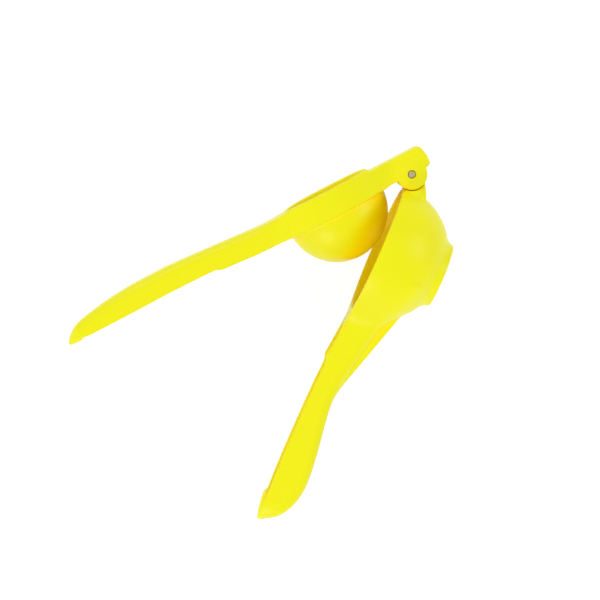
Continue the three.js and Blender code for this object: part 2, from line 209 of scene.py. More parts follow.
class Grid:
    """A box of evenly spaced places in a lever's coordinates, and the surface found in it."""

    # Places are read up to this many steps before the end of an axis, so that a cell is left after them
    last_cell: float = 1.001
    # The surface's points are moved onto it this many times, by slopes no smaller than this when squared
    rounds: int = 3
    least_slope: float = 0.1

    def __init__(self, low: Place, high: Place, step: float) -> None:
        """Lays the places out.

        Args:
            low: Lowest s, y and t, in millimetres.
            high: Highest s, y and t.
            step: The spacing.
        """
        self.low = np.array(low, float)
        self.step = step
        self.high = np.array(high, float)
        count = np.ceil((self.high - self.low) / step).astype(int) + 1
        axes = [self.low[i] + step * np.arange(count[i]) for i in range(3)]
        self.s = axes[0].reshape(-1, 1, 1)
        self.y = axes[1].reshape(1, -1, 1)
        self.t = axes[2].reshape(1, 1, -1)
        self.shape = tuple(count)

    def sample(self, values: np.ndarray, points: np.ndarray) -> np.ndarray:
        """Reads a field between its places.

        Args:
            values: The field on this grid.
            points: Where to read it, in millimetres.

        Returns:
            The field at each point.
        """
        at = (points - self.low) / self.step
        at = np.clip(at, 0, np.array(self.shape) - self.last_cell)
        base = at.astype(int)
        part = at - base
        result = np.zeros(len(points))
        for corner in np.ndindex(2, 2, 2):
            offset = np.array(corner)
            weight = np.prod(np.where(offset, part, 1 - part), axis=1)
            result += weight * values[tuple((base + offset).T)]
        return result

    def normals(self, values: np.ndarray, points: np.ndarray, reach: float) -> np.ndarray:
        """Gives the field's slope.

        Args:
            values: The field on this grid.
            points: Where to measure it.
            reach: How far to both sides it is measured.

        Returns:
            The slope at each point, which faces outwards.
        """
        slope = np.stack(
            [
                self.sample(values, points + reach * unit) - self.sample(values, points - reach * unit)
                for unit in np.eye(3)
            ],
            axis=1,
        )
        return slope / (2 * reach)

    def surface(self, values: np.ndarray) -> tuple[np.ndarray, np.ndarray]:
        """Finds the surface where a field is zero.

        Args:
            values: The field on this grid, negative inside.

        Returns:
            The vertices in millimetres, and the four-sided faces, pointing outwards.
        """
        inside = values < 0
        rings, spots = [], []
        # Each step of the grid that the surface crosses gives a face, between the four cells around it
        for axis in range(3):
            here = np.argwhere(np.diff(inside, axis=axis))
            there = here.copy()
            there[:, axis] += 1
            first, second = values[tuple(here.T)], values[tuple(there.T)]
            spot = here.astype(float)
            spot[:, axis] += first / (first - second)
            u, v = (axis + 1) % 3, (axis + 2) % 3
            ring = []
            for du, dv in ((0, 0), (-1, 0), (-1, -1), (0, -1)):
                cell = here.copy()
                cell[:, u] += du
                cell[:, v] += dv
                ring.append(np.ravel_multi_index(cell.T, self.shape))
            ring = np.stack(ring, axis=1)
            rings.append(np.where((first < 0)[:, None], ring, ring[:, ::-1]))
            spots.append(spot)
        ring = np.concatenate(rings)
        spot = np.repeat(np.concatenate(spots), 4, axis=0)
        # A cell's vertex starts in the middle of the crossings around it, and then moves onto the surface
        cells, index = np.unique(ring, return_inverse=True)
        index = index.reshape(ring.shape)
        users = index.ravel()
        share = np.bincount(users, minlength=len(cells))
        points = np.stack([np.bincount(users, spot[:, i], len(cells)) / share for i in range(3)], axis=1)
        points = self.low + points * self.step
        for _ in range(self.rounds):
            slope = self.normals(values, points, self.step / 2)
            size = np.maximum((slope**2).sum(axis=1), self.least_slope)
            move = (self.sample(values, points) / size)[:, None] * slope
            points -= np.clip(move, -self.step / 2, self.step / 2)
        return points, index


# Nodes, colours and finishes


def add_node(tree: bpy.types.NodeTree, kind: str, inputs: dict | None = None, **settings) -> bpy.types.Node:
    """Adds a node with its settings and links.

    Args:
        tree: The node tree.
        kind: The node's type.
        inputs: Socket names or numbers, each with a value or with another node's output.
        settings: Properties of the node.

    Returns:
        The new node.
    """
    node = tree.nodes.new(kind)
    for name, value in settings.items():
        setattr(node, name, value)
    for name, value in (inputs or {}).items():
        socket = node.inputs[name]
        if isinstance(value, bpy.types.NodeSocket):
            tree.links.new(value, socket)
        else:
            socket.default_value = value
    return node


def empty_tree(owner: bpy.types.Material | bpy.types.World) -> bpy.types.NodeTree:
    """Gives a material's or the world's node tree, with nothing in it.

    Args:
        owner: The material or the world.

    Returns:
        Its tree.
    """
    owner.use_nodes = True
    owner.node_tree.nodes.clear()
    return owner.node_tree


def sized_tree(name: str, sizes: dict[str, float]) -> bpy.types.NodeTree:
    """Starts a Geometry Nodes tree.

    Args:
        name: The tree's name.
        sizes: The named inputs. A whole number gives one that counts.

    Returns:
        The tree, with its inputs and its output but no nodes.
    """
    tree = bpy.data.node_groups.new(name, "GeometryNodeTree")
    for label, value in sizes.items():
        kind = "NodeSocketInt" if isinstance(value, int) else "NodeSocketFloat"
        tree.interface.new_socket(label, in_out="INPUT", socket_type=kind)
    tree.interface.new_socket("Geometry", in_out="OUTPUT", socket_type="NodeSocketGeometry")
    return tree


def run_tree(tree: bpy.types.NodeTree, sizes: dict[str, float]) -> bpy.types.Mesh:
    """Runs a Geometry Nodes tree on an object of its own, which is removed again.

    Args:
        tree: The tree.
        sizes: The value of each named input.

    Returns:
        What the tree makes, as a plain mesh.
    """
    carrier = new_object(tree.name, bpy.data.meshes.new(tree.name))
    modifier = carrier.modifiers.new(tree.name, "NODES")
    modifier.node_group = tree
    for item in tree.interface.items_tree:
        if item.in_out == "INPUT":
            modifier[item.identifier] = sizes[item.name]
    bpy.context.view_layer.update()
    made = carrier.evaluated_get(bpy.context.evaluated_depsgraph_get())
    shape = bpy.data.meshes.new_from_object(made)
    bpy.data.objects.remove(carrier)
    return shape


def new_object(name: str, data: bpy.types.ID) -> bpy.types.Object:
    """Puts a mesh, a camera or a lamp into the scene.

    Args:
        name: The object's name.
        data: What it shows or does.

    Returns:
        The object.
    """
    made = bpy.data.objects.new(name, data)
    bpy.context.scene.collection.objects.link(made)
    return made


def linear(colour: str) -> tuple[float, float, float, float]:
    """Turns a colour into the linear one that shaders take.

    Args:
        colour: The colour in sRGB, as hex.

    Returns:
        Its linear channels, and full cover.
    """
    channels = [int(colour[i : i + 2], 16) / 255 for i in (1, 3, 5)]
    light = [c / 12.92 if c <= 0.04045 else ((c + 0.055) / 1.055) ** 2.4 for c in channels]
    return (*light, 1.0)


@dataclass(frozen=True)
class BakedEnamel:
    """Baked enamel sprayed on cast aluminium: opaque, satin, and a little uneven like fine orange peel.

    It is brightest on open faces. Its colour holds painted shade: as the attribute named hollow says how far
    each point is shut in, by the tool itself and by the other lever, it turns towards amber, like the deeper
    light of a hollow that mostly lights itself. Sizes in millimetres.
    """

    name: str = "baked_enamel"
    open_colour: str = "#EAE608"
    # The amber of the painted shade, in hollows and where the other lever shuts the enamel in
    painted_shade_colour: str = "#FFE300"
    roughness: float = 0.38
    specular_level: float = 0.21
    # Shut-in amounts where the painted shade starts and where it is full
    shallow: float = 0.05
    deep: float = 0.6
    roughness_spread: float = 0.04
    peel_size: float = 1.4
    peel_height: float = 0.012
    peel_detail: float = 1.5
    cloud_size: float = 22.0
    cloud_detail: float = 2.0
    cloud_share: float = 0.12

    def material(self) -> bpy.types.Material:
        """Builds the material.

        Returns:
            The enamel.
        """
        material = bpy.data.materials.new(self.name)
        tree = empty_tree(material)
        place = add_node(tree, "ShaderNodeTexCoord").outputs["Object"]
        # The attribute hollow is the amount of painted shade at each point
        painted_shade_amount = add_node(tree, "ShaderNodeAttribute", attribute_name="hollow").outputs["Fac"]
        clouds = add_node(
            tree,
            "ShaderNodeTexNoise",
            {"Vector": place, "Scale": 1 / (self.cloud_size * MM), "Detail": self.cloud_detail},
        )
        spread = add_node(
            tree,
            "ShaderNodeMapRange",
            {"Value": clouds.outputs["Fac"], 3: -self.cloud_share / 2, 4: self.cloud_share / 2},
        )
        hollow = add_node(
            tree,
            "ShaderNodeMapRange",
            {"Value": painted_shade_amount, 1: self.shallow, 2: self.deep},
            interpolation_type="SMOOTHSTEP",
        )
        # Painted shade, plus random tone from the clouds, sets how far the colour turns to amber
        depth = add_node(
            tree,
            "ShaderNodeMath",
            {0: hollow.outputs["Result"], 1: spread.outputs["Result"]},
            operation="ADD",
            use_clamp=True,
        )
        colour = add_node(
            tree,
            "ShaderNodeMix",
            {"Factor": depth.outputs[0], "A": linear(self.open_colour), "B": linear(self.painted_shade_colour)},
            data_type="RGBA",
        )
        peel = add_node(
            tree,
            "ShaderNodeTexNoise",
            {"Vector": place, "Scale": 1 / (self.peel_size * MM), "Detail": self.peel_detail},
        )
        bump = add_node(
            tree,
            "ShaderNodeBump",
            {"Height": peel.outputs["Fac"], "Distance": self.peel_height * MM, "Strength": 1.0},
        )
        low, high = self.roughness - self.roughness_spread, self.roughness + self.roughness_spread
        rough = add_node(tree, "ShaderNodeMapRange", {"Value": clouds.outputs["Fac"], 3: low, 4: high})
        shader = add_node(
            tree,
            "ShaderNodeBsdfPrincipled",
            {
                "Base Color": colour.outputs["Result"],
                "Roughness": rough.outputs["Result"],
                "Normal": bump.outputs["Normal"],
                "Specular IOR Level": self.specular_level,
            },
        )
        add_node(tree, "ShaderNodeOutputMaterial", {"Surface": shader.outputs[0]})
        return material


@dataclass(frozen=True)
class TurnedSteel:
    """Turned mild steel, bare: the end of a rivet, dull and a little blotchy, with faint rings.

    The lathe's real marks are too fine to show, so its rings are drawn much further apart.
    Its colours are steel tinted yellow, partly a painted reflection of the enamel around it. Sizes in
    millimetres.
    """

    name: str = "turned_steel"
    # Both greys are tinted yellow, a painted reflection of the enamel; the blotches between them are random
    bright_colour: str = "#BAB48E"
    dull_colour: str = "#A7A07C"
    roughness: float = 0.5
    ring_spacing: float = 2.2
    ring_height: float = 0.01
    ring_wobble: float = 0.4
    stain_size: float = 1.2
    stain_detail: float = 3.0
    # A wave texture's phase at scale 1, in radians to the metre
    wave_phase: float = 20.0

    def material(self, centre: Vector, axis: Vector) -> bpy.types.Material:
        """Builds the material.

        Args:
            centre: The pin's middle, in metres.
            axis: The pin's direction.

        Returns:
            The material, with its rings about the pin's axis.
        """
        material = bpy.data.materials.new(self.name)
        tree = empty_tree(material)
        place = add_node(tree, "ShaderNodeTexCoord").outputs["Object"]
        turn = Vector((0, 0, 1)).rotation_difference(axis).inverted()
        moved = add_node(
            tree, "ShaderNodeVectorMath", {0: place, 1: tuple(centre)}, operation="SUBTRACT"
        ).outputs["Vector"]
        level = add_node(
            tree, "ShaderNodeMapping", {"Vector": moved, "Rotation": tuple(turn.to_euler("XYZ"))}
        ).outputs["Vector"]
        turns = 2 * math.pi / (self.wave_phase * self.ring_spacing * MM)
        rings = add_node(
            tree,
            "ShaderNodeTexWave",
            {"Vector": level, "Scale": turns, "Distortion": self.ring_wobble},
            wave_type="RINGS",
            rings_direction="Z",
        )
        stain = add_node(
            tree,
            "ShaderNodeTexNoise",
            {"Vector": place, "Scale": 1 / (self.stain_size * MM), "Detail": self.stain_detail},
        )
        colour = add_node(
            tree,
            "ShaderNodeMix",
            {"Factor": stain.outputs["Fac"], "A": linear(self.bright_colour), "B": linear(self.dull_colour)},
            data_type="RGBA",
        )
        bump = add_node(
            tree,
            "ShaderNodeBump",
            {"Height": rings.outputs["Fac"], "Distance": self.ring_height * MM, "Strength": 1.0},
        )
        shader = add_node(
            tree,
            "ShaderNodeBsdfPrincipled",
            {
                "Base Color": colour.outputs["Result"],
                "Roughness": self.roughness,
                "Metallic": 1.0,
                "Normal": bump.outputs["Normal"],
            },
        )
        add_node(tree, "ShaderNodeOutputMaterial", {"Surface": shader.outputs[0]})
        return material


# The frame of each lever


def lever_frame(joint: dict, turn: float) -> Matrix:
    """Finds where a lever's own coordinates lie in the row frame.

    Args:
        joint: The hinge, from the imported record.
        turn: How far the lever is turned about the pin from the tool's middle line, in radians.

    Returns:
        The matrix from s, y and t in metres to the row frame.
    """
    pin = -Vector(joint["axis"]).normalized()
    tilt = Vector((0, 0, 1)).rotation_difference(pin)
    along = tilt @ Vector((math.cos(turn), math.sin(turn), 0))
    up = along.cross(pin)
    return Matrix.Translation(Vector(joint["pos_m"])) @ Matrix((along, pin, up)).transposed().to_4x4()


@dataclass(frozen=True)
class Hinge:
    """Sizes at the pin that both levers share, in millimetres."""

    open_angle: float = math.radians(39.9)
    pin_radius: float = 2.1
    pin_play: float = 0.2
    knuckle_radius: float = 7.4
    knuckle_width: float = 14
    side_play: float = 0.4
    ear_radius: float = 8.9
    ear_play: float = 0.4
    fork_width: float = 25
    arm_play: float = 0.8
    bore_edge: float = 0.2

    def bore(self, grid: Grid) -> np.ndarray:
        """Distance to the hole that the pin goes through."""
        return np.hypot(grid.s, grid.t) - self.pin_radius - self.pin_play + 0 * grid.y


# Each table gives places along a lever as shares of its reach, and what a size is there as a share of the
# handle's own: its half width, the height of its closed back or of its open edge, and for the keel the height
# of the back again. The pad's table has shares of the pad's length and of its rise.
WIDTH_SHARES: Shares = (
    (0.26, 2.3), (0.32, 1.84), (0.37, 1.4), (0.41, 1.16), (0.46, 1.02), (0.51, 0.95), (0.57, 0.92),
    (0.68, 0.96), (0.8, 1), (0.9, 0.94), (1, 0.84),
)
PRESS_CROWN_SHARES: Shares = (
    (0.26, 0.749), (0.37, 0.75), (0.42, 0.767), (0.5, 0.842), (0.6, 0.931), (0.68, 0.99), (0.73, 0.993),
    (0.78, 0.987), (0.85, 0.923), (0.92, 0.798), (0.96, 0.668), (0.985, 0.458), (1, 0.235),
)
PRESS_EDGE_SHARES: Shares = (
    (0.26, -0.05), (0.41, -0.02), (0.46, 0.07), (0.5, 0.265), (0.54, 0.4), (0.553, 0.53), (0.567, 0.905),
    (0.6, 0.965), (0.7, 1.06), (0.8, 1), (0.93, 0.97), (0.952, 1.05), (1, 0.98),
)
BOWL_CROWN_SHARES: Shares = (
    (0.26, 1.875), (0.37, 1.41), (0.405, 1.25), (0.44, 1.132), (0.479, 1.011), (0.52, 0.882), (0.56, 0.772),
    (0.6, 0.676), (0.625, 0.643), (0.655, 0.658), (0.714, 0.768), (0.782, 0.912), (0.851, 0.996),
    (0.897, 0.941), (0.934, 0.75), (0.962, 0.482), (0.98, 0.188), (0.99, -0.03), (1, -0.26),
)
BOWL_EDGE_SHARES: Shares = (
    (0.26, 0.19), (0.37, 0.28), (0.4, 0.35), (0.46, 0.597), (0.511, 0.833), (0.5245, 0.89), (0.5315, 0.843),
    (0.5385, 0.739), (0.546, 0.703), (0.556, 0.715), (0.598, 0.826), (0.6535, 0.9), (0.713, 0.963),
    (0.79, 1.01), (0.87, 1.02), (0.91, 0.99), (1, 0.98),
)
KEEL_SHARES: Shares = ((0.3, 2.2), (0.368, 1.886), (0.6, 0.7265), (0.622, 0.632))
PAD_SHARES: Shares = ((0, 0.56), (0.1, 0.88), (0.17, 1), (0.4, 0.89), (0.75, 0.62), (1, 0.3))


@dataclass(frozen=True)
class Grip:
    """A channel-shaped handle, in millimetres: its back, its open edge and the pad under its tip."""

    back: Back
    reach: float
    cup_end: float
    crown_height: float
    crown_shares: Shares
    edge_height: float
    edge_shares: Shares
    pad_inset: float
    pad_length: float
    pad_rise: float
    half_width: float = 12.5
    corner: float = 5.5
    inner_corner: float = 4.0
    wall: float = 3.0
    tip_length: float = 13.0
    channel_gap: float = 5.5
    channel_end: float = 9.5
    channel_round: float = 9.0
    pad_half_width: float = 6.0
    pad_corner: float = 0.7
    pad_fillet: float = 0.4
    pad_stations: int = 16
    corner_share: float = 0.9
    tip_share: float = 0.6
    end_width_share: float = 0.17
    far: float = 80.0
    stations: int = 70

    def crown(self, s: float) -> float:
        """Height of the closed back."""
        return self.back.value * self.crown_height * smooth(self.crown_shares, s / self.reach)

    def edge(self, s: float) -> float:
        """Height of the open edge."""
        return self.edge_height * straight(self.edge_shares, s / self.reach)

    def end_share(self, distance: float, length: float) -> float:
        """Width of a plan near its rounded end.

        Args:
            distance: How far from the end.
            length: How long the rounded end is.

        Returns:
            The width as a share of the full width.
        """
        u = 1 - min(1.0, max(0.0, distance / length))
        return math.sqrt(1 - (1 - self.end_width_share**2) * u * u)

    def side(self, s: float) -> float:
        """Half the handle's width, with its rounded tip."""
        full = self.half_width * smooth(WIDTH_SHARES, s / self.reach)
        return full * self.end_share(self.reach - s, self.tip_length)

    def places(self, start: float, end: float) -> list[float]:
        """Stations along the handle, closer together towards both ends."""
        turn = np.linspace(0, math.pi, self.stations)
        return [float(start + (end - start) * (1 - math.cos(a)) / 2) for a in turn]

    def skin(
        self, grid: Grid, inset: float, start: float, end: float, rounding: float
    ) -> tuple[np.ndarray, np.ndarray]:
        """Measures the handle's outside, or the channel inside it.

        Args:
            grid: The places to measure.
            inset: How far inside the outer skin.
            start: Where it starts along the lever.
            end: Where it ends.
            rounding: Length of the rounded ends of its plan, or zero for the handle's own tip.

        Returns:
            The distances to the plan outline and to the back.
        """
        sign = self.back.value
        places = self.places(start, end)
        widths = []
        for s in places:
            if rounding:
                ends = self.end_share(s - start, rounding) * self.end_share(end - s, rounding)
                widths.append((self.half_width * smooth(WIDTH_SHARES, s / self.reach) - inset) * ends)
            else:
                widths.append(self.side(s))
        plan = list(zip(places, widths)) + [(s, -w) for s, w in zip(places[::-1], widths[::-1])]
        under = [(s, self.crown(s) - sign * inset) for s in places]
        under += [(end, -sign * self.far), (start, -sign * self.far)]
        return outline_distance(plan, grid.s, grid.y), outline_distance(under, grid.s, grid.t)

    def start(self) -> float:
        """Where the handle's tables start along the lever."""
        return WIDTH_SHARES[0][0] * self.reach

    def plan(self, grid: Grid) -> np.ndarray:
        """Distance to the handle's outline seen from above."""
        return self.skin(grid, 0, self.start(), self.reach, 0)[0] + 0 * grid.t

    def crown_line(self) -> Corners:
        """Points along the closed back."""
        return [(s, self.crown(s)) for s in self.places(self.start(), self.reach)]

    def edge_line(self) -> Corners:
        """Gives points along the open edge, with each of its corners.

        Returns:
            The points, from the start to the tip.
        """
        start = self.start()
        places = set(self.places(start, self.reach))
        places |= {share * self.reach for share, _ in self.edge_shares if share * self.reach > start}
        return [(s, self.edge(s)) for s in sorted(places)]

    def back_corner(self, grid: Grid) -> np.ndarray:
        """Radius of the rounding along the closed back, which shrinks where the handle is shallow.

        Args:
            grid: The places to give it for.

        Returns:
            The radius at each s of the grid.
        """
        places = np.clip(grid.s, self.start(), self.reach)
        room = [min(abs(self.crown(s) - self.edge(s)), self.side(s)) for s in places.ravel()]
        tip = np.interp(places.ravel(), [self.reach - self.tip_length, self.reach], [1, self.tip_share])
        return (tip * np.minimum(self.corner, self.corner_share * np.array(room))).reshape(-1, 1, 1)

    def channel(self, grid: Grid) -> np.ndarray:
        """Distance to the open channel inside the handle.

        Args:
            grid: The places to measure.

        Returns:
            The distance at each place, negative inside.
        """
        start = self.cup_end + self.channel_gap
        plan, back = self.skin(grid, self.wall, start, self.reach - self.channel_end, self.channel_round)
        return common(plan, back, self.inner_corner)

    def pad(self, grid: Grid) -> np.ndarray:
        """Distance to the stop pad under the tip.

        Args:
            grid: The places to measure.

        Returns:
            The distance at each place, negative inside.
        """
        sign = self.back.value
        end = self.reach - self.pad_inset
        places = np.linspace(end - self.pad_length, end, self.pad_stations)
        rises = [self.pad_rise * straight(PAD_SHARES, (s - places[0]) / self.pad_length) for s in places]
        face = [(s, self.edge(s) - sign * rise) for s, rise in zip(places, rises)]
        root = [(s, self.edge(s) + sign * self.wall / 2) for s in places[::-1]]
        profile = outline_distance(face + root, grid.s, grid.t)
        return common(profile, np.abs(grid.y) - self.pad_half_width, self.pad_corner)


@dataclass
class Casting:
    """One lever: a casting that is shaped as a field, meshed and enamelled. Sizes in millimetres."""

    hinge: Hinge
    frame: Matrix
    step: float = 0.65
    # The lines of sight that measure the painted shade
    sight: float = 50.0
    sight_lines: int = 96
    sight_steps: int = 20
    first_step: float = 1.3
    around_step: float = 2.5
    smoothing: int = 3

    def build(
        self, name: str, grid: Grid, values: np.ndarray, finish: bpy.types.Material, partner: "Casting"
    ) -> bpy.types.Object:
        """Makes the piece from its field.

        Args:
            name: The piece's name.
            grid: The grid that the field lies on.
            values: The field.
            finish: The enamel.
            partner: The other lever.

        Returns:
            The finished object, in the row frame.
        """
        points, faces = grid.surface(values)
        mesh = bpy.data.meshes.new(name)
        turn = np.array(self.frame)
        world = (points * MM) @ turn[:3, :3].T + turn[:3, 3]
        mesh.from_pydata(world.tolist(), [], faces.tolist())
        mesh.shade_smooth()
        # The attribute hollow holds painted shade: how far each point is shut in, by the tool itself and the
        # other lever
        hollow = mesh.attributes.new("hollow", "FLOAT", "POINT")
        shut = self.spread(self.painted_shade_amount(grid, values, points, partner), faces)
        hollow.data.foreach_set("value", shut.astype(np.float32))
        mesh.materials.append(finish)
        return new_object(name, mesh)

    def rough(self, places: np.ndarray) -> np.ndarray:
        """Distance to this lever without its details, in its own coordinates.

        Args:
            places: The places to measure, s, y and t of each in the last axis.

        Returns:
            The distance at each place, negative inside.
        """
        raise NotImplementedError

    def painted_shade_amount(
        self, grid: Grid, values: np.ndarray, points: np.ndarray, partner: "Casting"
    ) -> np.ndarray:
        """Finds how much of its surroundings each point loses to the tool itself, open as it lies: the
        painted shade.

        Args:
            grid: The grid that the field lies on.
            values: The field.
            points: The surface's vertices.
            partner: The other lever.

        Returns:
            0 on an open face, towards 1 deep in a hollow.
        """
        out = grid.normals(values, points, self.step)
        out /= np.maximum(np.linalg.norm(out, axis=1), 1e-6)[:, None]
        # The other lever counts by its rough shape alone, on a coarser grid that lies further around, so that
        # painted shade also falls where it shuts this lever in
        around = Grid(tuple(grid.low - self.sight), tuple(grid.high + self.sight), self.around_step)
        places = np.stack(np.broadcast_arrays(around.s, around.y, around.t), axis=-1)
        turn = np.array((partner.frame.inverted() @ self.frame).to_3x3())
        other = partner.rough(places @ turn.T).ravel()
        flat = values.ravel()
        last = np.array(grid.shape) - 1
        # The lines of sight lie in a spiral that covers the sphere evenly. One that leans away from the
        # normal weighs less. It goes on by the gap around it until it meets the tool or the end of sight.
        spiral = math.pi * (3 - math.sqrt(5))
        hidden, seen = np.zeros(len(points)), np.zeros(len(points))
        for i in range(self.sight_lines):
            z = 1 - (2 * i + 1) / self.sight_lines
            flat_part = math.sqrt(1 - z * z)
            ray = np.array((flat_part * math.cos(i * spiral), flat_part * math.sin(i * spiral), z))
            weight = np.maximum(out @ ray, 0)
            seen += weight
            left = np.flatnonzero(weight)
            spot = points[left] + self.step * out[left]
            far = np.full(len(left), self.first_step)
            for _ in range(self.sight_steps):
                place = spot + far[:, None] * ray
                beside = np.rint((place - around.low) / self.around_step).astype(int)
                gap = other[np.ravel_multi_index(beside.T, around.shape)]
                at = np.rint((place - grid.low) / self.step).astype(int)
                own = np.flatnonzero(((at >= 0) & (at <= last)).all(axis=1))
                gap[own] = np.minimum(gap[own], flat[np.ravel_multi_index(at[own].T, grid.shape)])
                met = left[gap < 0]
                hidden[met] += weight[met]
                far = far + np.maximum(gap, self.first_step)
                going = (gap >= 0) & (far < self.sight)
                left, spot, far = left[going], spot[going], far[going]
        return hidden / seen

    def spread(self, amount: np.ndarray, faces: np.ndarray) -> np.ndarray:
        """Evens an amount out over neighbouring vertices.

        Args:
            amount: The amount at each vertex.
            faces: The mesh's faces.

        Returns:
            The evened amounts.
        """
        index = faces.ravel()
        share = np.maximum(np.bincount(index, minlength=len(amount)), 1)
        for _ in range(self.smoothing):
            amount = np.bincount(index, np.repeat(amount[faces].mean(axis=1), 4), len(amount)) / share
        return amount


@dataclass
class PressLever(Casting):
    """The upper casting: the fork, the domed press cup in its ring, and a handle. Sizes in millimetres."""

    arm_top: float = 12.65
    arm_bottom: float = 0.1
    arm_web: float = 3.0
    arm_fillet: float = 8.0
    tail_reach: float = 12.5
    tail_foot: float = -0.15
    tail_wall: float = 3.6
    tail_slope: float = 0.3
    tail_lean: float = 0.7
    tail_lean_height: float = 7.0
    tail_corner: float = 3.1
    foot_corner: float = 3.0
    foot_length: float = 3.5
    slot_edge: float = 0.6
    cup_place: float = 47.2
    ring_radius: float = 33.5
    ring_bottom: float = -0.35
    ring_top: float = 14.75
    ring_draft: float = 4.0
    ring_wall: float = 3.2
    ring_edge: float = 1.2
    dome_radius: float = 29.3
    dome_rise: float = 0.85
    dome_wall: float = 2.95
    dome_fillet: float = 0.8
    grip_fillet: float = 3.0
    rim_edge: float = 0.8
    mouth_edge: float = 1.6
    slot_overrun: float = 20.0
    blend_start: float = 12.0
    blend_length: float = 22.0
    box_low: Place = (-15, -36, -31)
    box_high: Place = (222, 36, 21)
    # How far past the ring's edge, and the share of the ring's rise over the arms or the handle there
    lip_rise_shares: Shares = ((2.2, 0), (3.2, 0), (3.6, 0.47), (3.8, 0.68), (4.2, 0.9), (9.3, 1))
    lip_fall_shares: Shares = ((16, 1), (10.2, 1), (6.9, 0.24), (4.7, 0.13))

    def grip(self) -> Grip:
        """Gives the sizes of the handle.

        Returns:
            The handle.
        """
        return Grip(
            back=Back.UP,
            reach=218.5,
            cup_end=self.cup_place + self.ring_radius,
            crown_height=17.9,
            crown_shares=PRESS_CROWN_SHARES,
            edge_height=3.7,
            edge_shares=PRESS_EDGE_SHARES,
            pad_inset=1.5,
            pad_length=7.5,
            pad_rise=0.9,
        )

    def sides(self, grid: Grid, grip: Grip) -> np.ndarray:
        """Distance to the lever's upright sides: the arms, the tapered ring and the handle.

        Args:
            grid: The places to measure.
            grip: The handle.

        Returns:
            The distance at each place, negative inside.
        """
        draft = self.ring_draft / (self.ring_top - self.ring_bottom)
        across = np.hypot(grid.s - self.cup_place, grid.y)
        ring = (across - self.ring_radius + draft * (grid.t - self.ring_bottom)) / math.hypot(1, draft)
        arms = np.maximum(np.abs(grid.y) - self.hinge.fork_width / 2, grid.s - self.cup_place)
        return joined(joined(ring, grip.plan(grid), self.grip_fillet), arms + 0 * grid.t, self.arm_fillet)

    def top(self, grid: Grid, grip: Grip) -> np.ndarray:
        """Distance to the region under the lever's upper line, from the tail over the ring to the tip.

        Args:
            grid: The places to measure.
            grip: The handle.

        Returns:
            The distance at each place, negative inside.
        """
        back, top, far = -self.tail_reach, self.arm_top, -grip.far
        line = [(back, far), (back, self.tail_lean_height)]
        line += bend(
            (back + self.tail_lean, top - self.tail_corner),
            (back + self.tail_lean + self.tail_slope, top),
            (back + self.tail_lean + self.tail_corner, top),
        )
        near = self.cup_place - self.ring_radius + self.ring_draft
        rise = [(near + run, top + share * (self.ring_top - top)) for run, share in self.lip_rise_shares]
        line += bend(*rise[:3]) + bend(*rise[3:])
        join = self.cup_place + self.ring_radius
        past = [(s, t) for s, t in grip.crown_line() if s > join]
        low = past[0][1]
        fall = [(join - run, low + share * (self.ring_top - low)) for run, share in self.lip_fall_shares]
        line += bend(*fall[:3]) + fall[3:] + past + [(grip.reach, far)]
        return outline_distance(line, grid.s, grid.t) + 0 * grid.y

    def bottom(self, grid: Grid, grip: Grip) -> np.ndarray:
        """Distance to the region over the lever's lower line, from the tail's foot to the handle's tip.

        Args:
            grid: The places to measure.
            grip: The handle.

        Returns:
            The distance at each place, negative inside.
        """
        meet = math.asin(self.arm_bottom / self.hinge.ear_radius)
        tail = math.pi - math.asin(self.tail_foot / self.hinge.ear_radius)
        far = grip.far
        line = [(-far, far), (-far, self.tail_foot)]
        line += arc(self.hinge.ear_radius, tail, meet + 2 * math.pi)
        near = self.cup_place - self.ring_radius
        line += [(near, self.arm_bottom), (near + self.ring_edge * 2, self.ring_bottom)]
        join = self.cup_place + self.ring_radius
        line += [(join - self.ring_edge * 3, self.ring_bottom)]
        line += [(s, t) for s, t in grip.edge_line() if s > join]
        line += [(far + grip.reach, grip.edge(grip.reach)), (far + grip.reach, far)]
        return outline_distance(line, grid.s, grid.t) + 0 * grid.y

    def dome(self, grid: Grid) -> np.ndarray:
        """Distance to the dome that presses the fruit.

        Args:
            grid: The places to measure.

        Returns:
            The distance at each place, negative inside.
        """
        across = np.hypot(grid.s - self.cup_place, grid.y)
        ball = np.hypot(across, grid.t - self.dome_rise) - self.dome_radius
        return np.maximum(ball, grid.t - self.ring_bottom - 2 * self.ring_edge)

    def slot(self, grid: Grid) -> np.ndarray:
        """Distance to the slot between the ears, which stops at the ring.

        Args:
            grid: The places to measure.

        Returns:
            The distance at each place, negative inside.
        """
        back = self.tail_wall - self.tail_reach
        roof = self.arm_top - self.arm_web
        far = -self.hinge.ear_radius - self.slot_overrun
        outline = [(back, far), (self.cup_place, far), (self.cup_place, roof)]
        outline += bend((back + self.arm_web, roof), (back, roof), (back, roof - self.arm_web))
        sides = np.abs(grid.y) - self.hinge.knuckle_width / 2 - self.hinge.side_play
        box = common(outline_distance(outline, grid.s, grid.t), sides, self.slot_edge)
        ring = np.hypot(grid.s - self.cup_place, grid.y) - self.ring_radius
        return cut(box, ring + 0 * grid.t, self.slot_edge)

    def hollow(self, grid: Grid) -> np.ndarray:
        """Distance to the hollow of the press cup.

        Args:
            grid: The places to measure.

        Returns:
            The distance at each place, negative inside.
        """
        across = np.hypot(grid.s - self.cup_place, grid.y)
        ball = np.hypot(across, grid.t - self.dome_rise) - self.dome_radius + self.dome_wall
        mouth = across - self.ring_radius + self.ring_draft + self.ring_wall
        return np.minimum(ball, np.maximum(mouth, self.dome_rise - grid.t))

